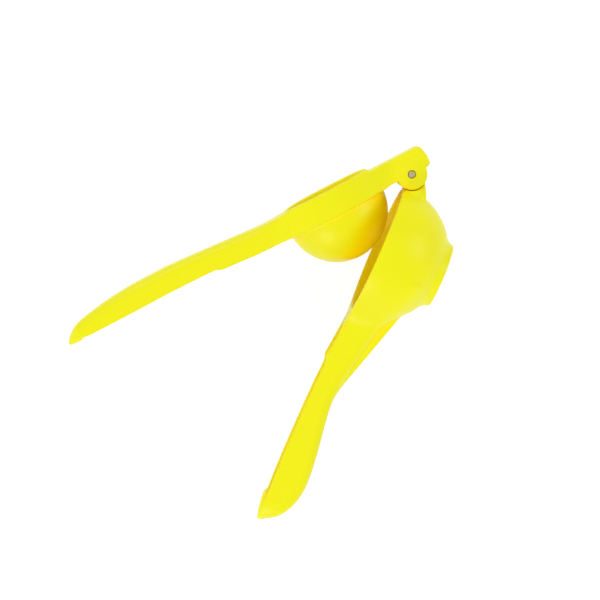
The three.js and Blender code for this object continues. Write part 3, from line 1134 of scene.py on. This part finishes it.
    def make(self, finish: bpy.types.Material, partner: Casting) -> bpy.types.Object:
        """Builds the lever.

        Args:
            finish: The enamel.
            partner: The other lever, which shuts this one in.

        Returns:
            The finished object, in the row frame.
        """
        grid = Grid(self.box_low, self.box_high, self.step)
        grip = self.grip()
        join = self.cup_place + self.ring_radius
        share = np.clip((grid.s - join + self.blend_start) / self.blend_length, 0, 1)
        back = (1 - share) * self.ring_edge + share * grip.back_corner(grid)
        body = common(self.sides(grid, grip), self.top(grid, grip), back)
        foot = np.clip((self.tail_reach + grid.s) / self.foot_length, 0, 1)
        under = (1 - foot) * self.foot_corner + foot * self.rim_edge
        body = common(body, self.bottom(grid, grip), under)
        body = joined(body, self.dome(grid), self.dome_fillet)
        body = cut(body, self.hollow(grid), self.mouth_edge)
        body = cut(body, grip.channel(grid), self.rim_edge)
        body = joined(body, grip.pad(grid), grip.pad_fillet)
        body = cut(body, self.slot(grid), self.slot_edge)
        body = cut(body, self.hinge.bore(grid), self.hinge.bore_edge)
        return self.build("enamelled_press_lever", grid, body, finish, partner)

    def rough(self, places: np.ndarray) -> np.ndarray:
        """Distance to the fork and the press cup without their details, for the painted shade where they shut
        the other lever in.

        Args:
            places: The places to measure, s, y and t of each in the last axis.

        Returns:
            The distance at each place, negative inside.
        """
        s, y, t = places[..., 0], places[..., 1], places[..., 2]
        across = np.hypot(s - self.cup_place, y)
        dome = np.hypot(across, t - self.dome_rise) - self.dome_radius
        middle = (self.ring_top + self.ring_bottom) / 2
        level = np.abs(t - middle) + middle - self.ring_top
        ring = np.maximum(across - self.ring_radius + self.ring_draft / 2, level)
        ears = np.hypot(s, t) - self.hinge.ear_radius
        half = self.arm_top / 2
        arms = np.maximum(np.abs(t - half) - half, np.maximum(-s, s - self.cup_place))
        sides = np.maximum(np.abs(y) - self.hinge.fork_width / 2, self.hinge.knuckle_width / 2 - np.abs(y))
        fork = np.maximum(np.minimum(ears, arms), sides)
        return np.minimum(np.minimum(np.maximum(dome, t - self.dome_rise), ring), fork)


@dataclass
class JuiceSlots:
    """The drain holes through the foot, laid out by a node tree: slots round a middle hole. Millimetres."""

    count: int = 8
    inner: float = 5.5
    outer: float = 13.5
    width: float = 3.2
    hole_radius: float = 1.9
    hole_sides: int = 24
    depth: float = 14.0
    # The radius of a slot's ends, just under half its width so that the two do not meet
    end_share: float = 0.499
    end_steps: int = 8
    weld: float = 0.001
    spare: float = 2.0
    name: str = "juice_slots"

    def sizes(self) -> dict[str, float]:
        """Gives the sizes that the tree takes.

        Returns:
            The value of each named input.
        """
        return {
            "Count": self.count,
            "Inner": self.inner,
            "Outer": self.outer,
            "Width": self.width,
            "Hole Radius": self.hole_radius,
            "Depth": self.depth,
        }

    def tree(self, finish: bpy.types.Material) -> bpy.types.NodeTree:
        """Builds the node tree.

        Args:
            finish: The enamel that the holes are lined with.

        Returns:
            The tree, which makes a closed prism for each hole.
        """
        tree = sized_tree(self.name, self.sizes())
        given = add_node(tree, "NodeGroupInput").outputs
        known = {label: given[label] for label in self.sizes()}
        known["Index"] = add_node(tree, "GeometryNodeInputIndex").outputs[0]
        for label, operation, *values in (
            ("Length", "SUBTRACT", "Outer", "Inner"),
            ("Span", "ADD", "Outer", "Inner"),
            ("Middle", "DIVIDE", "Span", 2.0),
            ("Round", "MULTIPLY", "Width", self.end_share),
            ("Turn", "MULTIPLY", "Index", 2 * math.pi),
            ("Angle", "DIVIDE", "Turn", "Count"),
        ):
            inputs = {i: known.get(value, value) for i, value in enumerate(values)}
            known[label] = add_node(tree, "ShaderNodeMath", inputs, operation=operation).outputs[0]
        outline = add_node(
            tree,
            "GeometryNodeCurvePrimitiveQuadrilateral",
            {"Width": known["Length"], "Height": known["Width"]},
        )
        rounded = add_node(
            tree,
            "GeometryNodeFilletCurve",
            {"Curve": outline.outputs["Curve"], "Radius": known["Round"], "Count": self.end_steps},
            mode="POLY",
        )
        plate = add_node(tree, "GeometryNodeFillCurve", {"Curve": rounded.outputs[0]}, mode="NGONS")
        ring = add_node(
            tree, "GeometryNodeMeshCircle", {"Vertices": known["Count"], "Radius": known["Middle"]}
        )
        spin = add_node(tree, "ShaderNodeCombineXYZ", {"Z": known["Angle"]})
        slots = add_node(
            tree,
            "GeometryNodeInstanceOnPoints",
            {
                "Points": ring.outputs["Mesh"],
                "Instance": plate.outputs["Mesh"],
                "Rotation": spin.outputs[0],
            },
        )
        hole = add_node(
            tree,
            "GeometryNodeMeshCircle",
            {"Vertices": self.hole_sides, "Radius": known["Hole Radius"]},
            fill_type="NGON",
        )
        flat = add_node(tree, "GeometryNodeJoinGeometry")
        for part in (slots.outputs["Instances"], hole.outputs["Mesh"]):
            tree.links.new(part, flat.inputs[0])
        real = add_node(tree, "GeometryNodeRealizeInstances", {"Geometry": flat.outputs[0]})
        deep = add_node(
            tree,
            "GeometryNodeExtrudeMesh",
            {"Mesh": real.outputs[0], "Offset Scale": known["Depth"], "Individual": False},
        )
        under = add_node(tree, "GeometryNodeFlipFaces", {"Mesh": real.outputs[0]})
        both = add_node(tree, "GeometryNodeJoinGeometry")
        for part in (deep.outputs["Mesh"], under.outputs[0]):
            tree.links.new(part, both.inputs[0])
        closed = add_node(
            tree, "GeometryNodeMergeByDistance", {"Geometry": both.outputs[0], "Distance": self.weld}
        )
        whole = add_node(tree, "GeometryNodeRealizeInstances", {"Geometry": closed.outputs[0]})
        lined = add_node(
            tree, "GeometryNodeSetMaterial", {"Geometry": whole.outputs[0], "Material": finish}
        )
        add_node(tree, "NodeGroupOutput", {"Geometry": lined.outputs[0]})
        return tree

    def cutter(self, finish: bpy.types.Material) -> BVHTree:
        """Runs the tree and gives its closed prisms, in millimetres about the bowl's axis.

        Args:
            finish: The enamel.

        Returns:
            A tree of faces to measure distances from.
        """
        shape = run_tree(self.tree(finish), self.sizes())
        shape.calc_loop_triangles()
        corners = [tuple(vertex.co) for vertex in shape.vertices]
        faces = [tuple(triangle.vertices) for triangle in shape.loop_triangles]
        log.info("%s: %d cutter faces", self.name, len(faces))
        return BVHTree.FromPolygons(corners, faces)

    def distance(self, grid: Grid, finish: bpy.types.Material, place: float, bottom: float) -> np.ndarray:
        """Measures the distance to the slots.

        Args:
            grid: The places to measure.
            finish: The enamel.
            place: Where the bowl's axis lies along the lever.
            bottom: The level that the slots start from.

        Returns:
            The field, exact near the slots and large elsewhere.
        """
        values = np.full(grid.shape, self.outer)
        near_s = np.flatnonzero(np.abs(grid.s.ravel() - place) < self.outer + self.spare)
        near_y = np.flatnonzero(np.abs(grid.y.ravel()) < self.outer + self.spare)
        level = grid.t.ravel() - bottom
        near_t = np.flatnonzero((level > -self.spare) & (level < self.depth + self.spare))
        faces = self.cutter(finish)
        for i in near_s:
            for j in near_y:
                for k in near_t:
                    spot = Vector((grid.s[i, 0, 0] - place, grid.y[0, j, 0], level[k]))
                    touch, normal, _, gap = faces.find_nearest(spot)
                    values[i, j, k] = math.copysign(gap, (spot - touch).dot(normal))
        return values


@dataclass
class BowlLever(Casting):
    """The lower casting: the knuckle and neck, the bowl on its foot, and a handle with a keel.

    Sizes in millimetres.
    """

    bowl_radius: float = 39.35
    bowl_place: float = 47.2
    bowl_wall: float = 3.2
    bowl_fullness: float = 0.55
    bowl_rim: float = 2.1
    rim_drop: float = 1.2
    rim_edge: float = 1.0
    foot_radius: float = 18.6
    foot_depth: float = 38.8
    foot_edge: float = 0.9
    foot_fillet: float = 3.2
    fork_relief: float = 0.1
    relief_length: float = 15.5
    neck_top: float = 0.3
    neck_heel: float = 9.55
    neck_heel_place: float = 2.4
    neck_throat: float = 12.2
    neck_fall: float = 0.42
    neck_edge: float = 0.9
    neck_half_width: float = 11.2
    neck_fillet: float = 4.5
    throat_fillet: float = 0.4
    fillet_run: float = 4.0
    grip_fillet: float = 7.0
    keel_half_width: float = 3.6
    keel_edge: float = 1.4
    keel_fillet: float = 1.8
    slot_edge: float = 0.5
    blend_start: float = 8.0
    blend_length: float = 16.0
    box_low: Place = (-11, -42, -42)
    box_high: Place = (218, 42, 11)

    def grip(self) -> Grip:
        """Gives the sizes of the handle.

        Returns:
            The handle.
        """
        return Grip(
            back=Back.DOWN,
            reach=217.3,
            cup_end=self.bowl_place + self.bowl_radius,
            crown_height=13.55,
            crown_shares=BOWL_CROWN_SHARES,
            edge_height=5.75,
            edge_shares=BOWL_EDGE_SHARES,
            pad_inset=3.9,
            pad_length=13.8,
            pad_rise=1.75,
        )

    def ball(self, grid: Grid, radius: float, fullness: float) -> np.ndarray:
        """Measures a ball about the bowl's middle that goes on straight above the level.

        Args:
            grid: The places to measure.
            radius: The ball's radius at the rim and at the foot.
            fullness: How much further out it reaches halfway between them.

        Returns:
            The distance to the ball.
        """
        across = np.hypot(grid.s - self.bowl_place, grid.y)
        depth = np.minimum(grid.t, 0)
        length = np.maximum(np.hypot(across, depth), self.bowl_wall)
        return length - radius - fullness * (2 * across * depth / length**2) ** 2

    def mouth(self, grid: Grid, grip: Grip) -> np.ndarray:
        """Distance to the region under the rim, which slopes up from the pin and goes on as the grip's edge.

        Args:
            grid: The places to measure.
            grip: The handle.

        Returns:
            The distance at each place, negative inside.
        """
        near, far = self.bowl_place - self.bowl_radius, self.bowl_place + self.bowl_radius
        low = -grip.far
        line = [(-self.bowl_radius, low), (-self.bowl_radius, self.bowl_rim - self.rim_drop)]
        line += [(near, self.bowl_rim - self.rim_drop), (far, self.bowl_rim)]
        line += [(s, t) for s, t in grip.edge_line() if s > far]
        line += [(grip.reach + grip.far, grip.edge(grip.reach)), (grip.reach + grip.far, low)]
        return outline_distance(line, grid.s, grid.t) + 0 * grid.y

    def foot(self, grid: Grid) -> np.ndarray:
        """Distance to the round foot.

        Args:
            grid: The places to measure.

        Returns:
            The distance at each place, negative inside.
        """
        across = np.hypot(grid.s - self.bowl_place, grid.y) - self.foot_radius
        top = grid.t + self.bowl_radius - 2 * self.bowl_wall
        return common(across, top, self.foot_edge)

    def neck(self, grid: Grid) -> np.ndarray:
        """Distance to the knuckle and the web from it to the bowl.

        Args:
            grid: The places to measure.

        Returns:
            The distance at each place, negative inside.
        """
        radius = self.hinge.knuckle_radius
        inner = self.bowl_place - self.bowl_radius + 2 * self.bowl_wall
        top = math.asin(self.neck_top / radius)
        heel = -math.pi / 2 - math.asin(self.neck_heel_place / radius)
        outline = [(inner, self.neck_top)] + arc(radius, top, heel + 2 * math.pi)
        outline += [(self.neck_heel_place, -self.neck_heel), (radius, -self.neck_throat)]
        outline += [(inner, -self.neck_throat - (inner - radius) * self.neck_fall)]
        sides = np.abs(grid.y) - self.neck_half_width
        return common(outline_distance(outline, grid.s, grid.t), sides, self.neck_edge)

    def handle(self, grid: Grid, grip: Grip) -> np.ndarray:
        """Distance to the handle's outside, open towards the mouth.

        Args:
            grid: The places to measure.
            grip: The handle.

        Returns:
            The distance at each place, negative inside.
        """
        under = grip.crown_line() + [(grip.reach, grip.far), (grip.start(), grip.far)]
        back = outline_distance(under, grid.s, grid.t) + 0 * grid.y
        return common(grip.plan(grid), back, grip.back_corner(grid))

    def keel(self, grid: Grid, grip: Grip) -> np.ndarray:
        """Distance to the rib under the lever, from the bowl to the start of the grip.

        Args:
            grid: The places to measure.
            grip: The handle.

        Returns:
            The distance at each place, negative inside.
        """
        line = [(share * grip.reach, -depth * grip.crown_height) for share, depth in KEEL_SHARES]
        outline = [(line[0][0], 0.0)] + line + [(line[-1][0], line[-1][1] + grip.wall)]
        sides = np.abs(grid.y) - self.keel_half_width
        return common(outline_distance(outline, grid.s, grid.t), sides, self.keel_edge)

    def fork_room(self, grid: Grid) -> np.ndarray:
        """Distance to the room beside the neck for the ears and the arms of the fork.

        Args:
            grid: The places to measure.

        Returns:
            The distance at each place, negative inside.
        """
        ears = np.hypot(grid.s, grid.t) - self.hinge.ear_radius - self.hinge.ear_play
        arms = np.maximum(grid.s - self.relief_length, self.fork_relief - grid.t)
        outer = np.abs(grid.y) - self.hinge.fork_width / 2 - self.hinge.arm_play
        inner = self.hinge.knuckle_width / 2 - np.abs(grid.y)
        return np.maximum(np.minimum(ears, arms), np.maximum(outer, inner))

    def make(self, finish: bpy.types.Material, partner: Casting) -> bpy.types.Object:
        """Builds the lever.

        Args:
            finish: The enamel.
            partner: The other lever, which shuts this one in.

        Returns:
            The finished object, in the row frame.
        """
        grid = Grid(self.box_low, self.box_high, self.step)
        grip = self.grip()
        body = self.ball(grid, self.bowl_radius, self.bowl_fullness)
        body = joined(body, self.foot(grid), self.foot_fillet)
        body = common(body, -grid.t - self.foot_depth + 0 * body, self.foot_edge)
        body = joined(body, self.handle(grid, grip), self.grip_fillet)
        far = self.bowl_place + self.bowl_radius
        share = np.clip((grid.s - far + self.blend_start) / self.blend_length, 0, 1)
        crease = (1 - share) * self.foot_edge + share * self.keel_fillet
        body = joined(body, self.keel(grid, grip), crease)
        body = common(body, self.mouth(grid, grip), self.rim_edge)
        # The fillet beside the neck runs out below the rim and above the throat
        share = np.clip(np.minimum(grid.t + self.neck_throat, -grid.t) / self.fillet_run, 0, 1)
        body = joined(body, self.neck(grid), (1 - share) * self.throat_fillet + share * self.neck_fillet)
        body = cut(body, self.fork_room(grid), self.neck_edge / 2)
        body = cut(body, self.ball(grid, self.bowl_radius - self.bowl_wall, 0), self.rim_edge)
        body = cut(body, grip.channel(grid), self.rim_edge)
        body = joined(body, grip.pad(grid), grip.pad_fillet)
        slots = JuiceSlots()
        holes = slots.distance(grid, finish, self.bowl_place, -self.foot_depth - slots.depth / 2)
        body = cut(body, holes, self.slot_edge)
        body = cut(body, self.hinge.bore(grid), self.hinge.bore_edge)
        return self.build("enamelled_bowl_lever", grid, body, finish, partner)

    def rough(self, places: np.ndarray) -> np.ndarray:
        """Distance to the bowl without its details, for the painted shade where it shuts the other lever in.

        Args:
            places: The places to measure, s, y and t of each in the last axis.

        Returns:
            The distance at each place, negative inside.
        """
        s, y, t = places[..., 0], places[..., 1], places[..., 2]
        length = np.hypot(np.hypot(s - self.bowl_place, y), np.minimum(t, 0))
        shell = np.abs(length - self.bowl_radius + self.bowl_wall / 2) - self.bowl_wall / 2
        # The ears keep their room, or they would count as shut in by the bowl's rim and take painted shade
        room = np.hypot(s, t) - self.hinge.ear_radius - self.around_step
        room = np.maximum(room, np.abs(y) - self.hinge.fork_width / 2 - self.around_step)
        return np.maximum(np.maximum(shell, t - self.bowl_rim), -room)


@dataclass
class HingePin:
    """The rivet: a turned steel pin whose ends are chamfered and slightly crowned. Sizes in millimetres."""

    hinge: Hinge
    frame: Matrix
    inset: float = 0.2
    chamfer: float = 0.4
    crown: float = 0.12
    sides: int = 64
    rings: int = 48
    end_rings: int = 10
    end_spare: float = 0.01
    name: str = "turned_hinge_pin"

    def sizes(self) -> dict[str, float]:
        """Gives the sizes that the tree takes, in metres.

        Returns:
            The value of each named input.
        """
        sizes = {
            "Radius": self.hinge.pin_radius,
            "Half Length": self.hinge.fork_width / 2 - self.inset,
            "Chamfer": self.chamfer,
            "Crown": self.crown,
        }
        return {label: size * MM for label, size in sizes.items()}

    def tree(self, finish: bpy.types.Material) -> bpy.types.NodeTree:
        """Builds the node tree that shapes the pin from its sizes.

        Args:
            finish: The steel.

        Returns:
            The tree, which narrows a bar towards its ends and lets their rims sink.
        """
        tree = sized_tree(self.name, self.sizes())
        given = add_node(tree, "NodeGroupInput").outputs
        known = {label: given[label] for label in self.sizes()}
        at = add_node(tree, "GeometryNodeInputPosition").outputs[0]
        split = add_node(tree, "ShaderNodeSeparateXYZ", {0: at}).outputs
        known |= {label: split[label] for label in ("X", "Y", "Z")}
        for label, operation, *values in (
            ("Length", "MULTIPLY", "Half Length", 2.0),
            ("X Squared", "MULTIPLY", "X", "X"),
            ("Y Squared", "MULTIPLY", "Y", "Y"),
            ("Squared", "ADD", "X Squared", "Y Squared"),
            ("Across", "SQRT", "Squared"),
            ("Height", "ABSOLUTE", "Z"),
            ("Left", "SUBTRACT", "Half Length", "Height"),
            ("Short", "SUBTRACT", "Chamfer", "Left"),
            ("Bite", "MAXIMUM", "Short", 0.0),
            ("Limit", "SUBTRACT", "Radius", "Bite"),
            ("Narrow", "DIVIDE", "Limit", "Radius"),
            ("Share", "DIVIDE", "Across", "Radius"),
            ("Share Squared", "MULTIPLY", "Share", "Share"),
            ("Fall", "MULTIPLY", "Share Squared", "Crown"),
            ("At End", "LESS_THAN", "Left", self.end_spare * MM),
            ("Sink", "MULTIPLY", "Fall", "At End"),
            ("Side", "SIGN", "Z"),
            ("Shift", "MULTIPLY", "Side", "Sink"),
            ("New X", "MULTIPLY", "X", "Narrow"),
            ("New Y", "MULTIPLY", "Y", "Narrow"),
            ("New Z", "SUBTRACT", "Z", "Shift"),
        ):
            inputs = {i: known.get(value, value) for i, value in enumerate(values)}
            known[label] = add_node(tree, "ShaderNodeMath", inputs, operation=operation).outputs[0]
        bar = add_node(
            tree,
            "GeometryNodeMeshCylinder",
            {
                "Vertices": self.sides,
                "Side Segments": self.rings,
                "Fill Segments": self.end_rings,
                "Radius": known["Radius"],
                "Depth": known["Length"],
            },
            fill_type="TRIANGLE_FAN",
        )
        place = add_node(
            tree, "ShaderNodeCombineXYZ", {label: known[f"New {label}"] for label in ("X", "Y", "Z")}
        )
        shaped = add_node(
            tree, "GeometryNodeSetPosition", {"Geometry": bar.outputs["Mesh"], "Position": place.outputs[0]}
        )
        real = add_node(tree, "GeometryNodeRealizeInstances", {"Geometry": shaped.outputs[0]})
        dressed = add_node(
            tree, "GeometryNodeSetMaterial", {"Geometry": real.outputs[0], "Material": finish}
        )
        add_node(tree, "NodeGroupOutput", {"Geometry": dressed.outputs[0]})
        return tree

    def make(self, finish: bpy.types.Material) -> bpy.types.Object:
        """Builds the pin.

        Args:
            finish: The steel.

        Returns:
            The finished object, in the row frame.
        """
        shape = run_tree(self.tree(finish), self.sizes())
        # The bar stands along the tree's third axis, and the pin lies along the lever's second
        lay = Matrix(((1, 0, 0), (0, 0, 1), (0, -1, 0))).to_4x4()
        shape.transform(self.frame @ lay)
        shape.shade_smooth()
        return new_object(self.name, shape)


@dataclass(frozen=True)
class Studio:
    """The floor, the light and the camera of the photograph.

    The camera's distance and target are in millimetres, its turn is an axis times radians, and the floor and
    the lamps are in metres.
    """

    distance: float = 1300.0
    target: Place = (0.0, 0.0, 45.0)
    camera_turn: Place = (-0.1947, 0.0086, -2.2997)
    target_pixel: Pair = (299.57, 292.36)
    pixels_per_mm: float = 1.7666
    floor_size: float = 6.0
    floor_colour: str = "#FFFFFF"
    sky_colour: str = "#FFFFFF"
    sky_strength: float = 0.58
    floor_glow: float = 0.85
    floor_glow_strength: float = 1.07
    fill_power: float = 3.2
    fill_place: Place = (0.18, -0.09, 1.33)
    lamp_size: float = 0.5
    lamp_powers: tuple[float, ...] = (3.4, 4.6, 3.6)
    lamp_places: tuple[Place, ...] = (
        (-0.73, 0.68, 0.7),
        (1.09, 0.33, 0.43),
        (-0.21, -1.09, 0.51),
    )

    def camera(self) -> None:
        """Sets the camera where the photograph was taken from."""
        turn = Vector(self.camera_turn)
        view = Matrix.Rotation(turn.length, 3, turn.normalized())
        eye = Vector(self.target) * MM + view.transposed() @ Vector((0, 0, self.distance * MM))
        data = bpy.data.cameras.new("camera")
        data.lens = data.sensor_width * self.pixels_per_mm * self.distance / IMAGE_SIZE
        data.shift_x = (IMAGE_SIZE / 2 - self.target_pixel[0]) / IMAGE_SIZE
        data.shift_y = (self.target_pixel[1] - IMAGE_SIZE / 2) / IMAGE_SIZE
        camera = new_object("camera", data)
        camera.matrix_world = Matrix.Translation(eye) @ view.transposed().to_4x4()
        bpy.context.scene.camera = camera

    def background_rays(self, tree: bpy.types.NodeTree) -> bpy.types.NodeSocket:
        """Picks the rays that see the plain white background: from the camera, and through gloss or glass.

        Args:
            tree: The node tree of the floor or the world.

        Returns:
            A socket that is 1 for such a ray and 0 for any other.
        """
        path = add_node(tree, "ShaderNodeLightPath").outputs
        seen = path["Is Camera Ray"]
        for kind in ("Is Glossy Ray", "Is Transmission Ray"):
            either = add_node(tree, "ShaderNodeMath", {0: seen, 1: path[kind]}, operation="MAXIMUM")
            seen = either.outputs[0]
        return seen

    def floor(self) -> None:
        """Lays a white floor that the camera sees as white, with the tool's soft shadow left on it."""
        mesh = bpy.data.meshes.new("floor")
        half = self.floor_size / 2
        corners = [(-half, -half, 0), (half, -half, 0), (half, half, 0), (-half, half, 0)]
        mesh.from_pydata(corners, [], [(0, 1, 2, 3)])
        material = bpy.data.materials.new("white_floor")
        tree = empty_tree(material)
        white = linear(self.floor_colour)
        matt = add_node(tree, "ShaderNodeBsdfDiffuse", {"Color": white})
        glow = add_node(tree, "ShaderNodeEmission", {"Color": white, "Strength": self.floor_glow_strength})
        rays = self.background_rays(tree)
        part = add_node(tree, "ShaderNodeMath", {0: rays, 1: self.floor_glow}, operation="MULTIPLY")
        blend = add_node(
            tree, "ShaderNodeMixShader", {0: part.outputs[0], 1: matt.outputs[0], 2: glow.outputs[0]}
        )
        add_node(tree, "ShaderNodeOutputMaterial", {"Surface": blend.outputs[0]})
        mesh.materials.append(material)
        floor = new_object("floor", mesh)

    def light(self) -> None:
        """Lights the tool with an even room, soft lamps on three sides, and a fill that leaves no sheen."""
        world = bpy.data.worlds.new("bright_room")
        tree = empty_tree(world)
        colour = linear(self.sky_colour)
        room = add_node(tree, "ShaderNodeBackground", {"Color": colour, "Strength": self.sky_strength})
        white = add_node(tree, "ShaderNodeBackground", {"Color": colour, "Strength": 1.0})
        rays = self.background_rays(tree)
        mix = add_node(tree, "ShaderNodeMixShader", {0: rays, 1: room.outputs[0], 2: white.outputs[0]})
        add_node(tree, "ShaderNodeOutputWorld", {"Surface": mix.outputs[0]})
        bpy.context.scene.world = world
        for power, place in zip(self.lamp_powers, self.lamp_places):
            self.lamp(power, place)
        self.lamp(self.fill_power, self.fill_place).visible_glossy = False

    def lamp(self, power: float, place: Place) -> bpy.types.Object:
        """Hangs a square soft lamp that faces the tool.

        Args:
            power: Its power, in watts.
            place: Where it hangs, in metres.

        Returns:
            The lamp.
        """
        data = bpy.data.lights.new("soft_lamp", "AREA")
        data.energy = power
        data.size = self.lamp_size
        lamp = new_object("soft_lamp", data)
        aim = Vector(self.target) * MM - Vector(place)
        lamp.matrix_world = Matrix.Translation(place) @ aim.to_track_quat("-Z", "Y").to_matrix().to_4x4()
        return lamp


def main() -> None:
    """Builds the tool's pieces, dresses them and sets the studio."""
    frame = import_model()
    joint = frame["joints"][0]
    hinge = Hinge()
    press_frame = lever_frame(joint, -hinge.open_angle / 2)
    bowl_frame = lever_frame(joint, hinge.open_angle / 2)
    studio = Studio()
    studio.camera()
    studio.floor()
    studio.light()
    enamel = BakedEnamel().material()
    steel = TurnedSteel().material(press_frame.translation, press_frame.col[1].to_3d())

    press_lever, bowl_lever = PressLever(hinge, press_frame), BowlLever(hinge, bowl_frame)
    press = press_lever.make(enamel, bowl_lever)
    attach(press, "press_side")
    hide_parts("press_lever")
    log.info("%s: %d faces", press.name, len(press.data.polygons))

    bowl = bowl_lever.make(enamel, press_lever)
    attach(bowl, "bowl_side")
    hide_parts("bowl_lever")
    log.info("%s: %d faces", bowl.name, len(bowl.data.polygons))

    pin = HingePin(hinge, press_frame).make(steel)
    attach(pin, "press_side")
    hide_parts("hinge_pin")
    log.info("%s: %d faces", pin.name, len(pin.data.polygons))

    bpy.context.scene.view_settings.view_transform = "Standard"


if __name__ == "__main__":
    logging.basicConfig(level=logging.INFO, format="%(name)s: %(message)s")
    main()
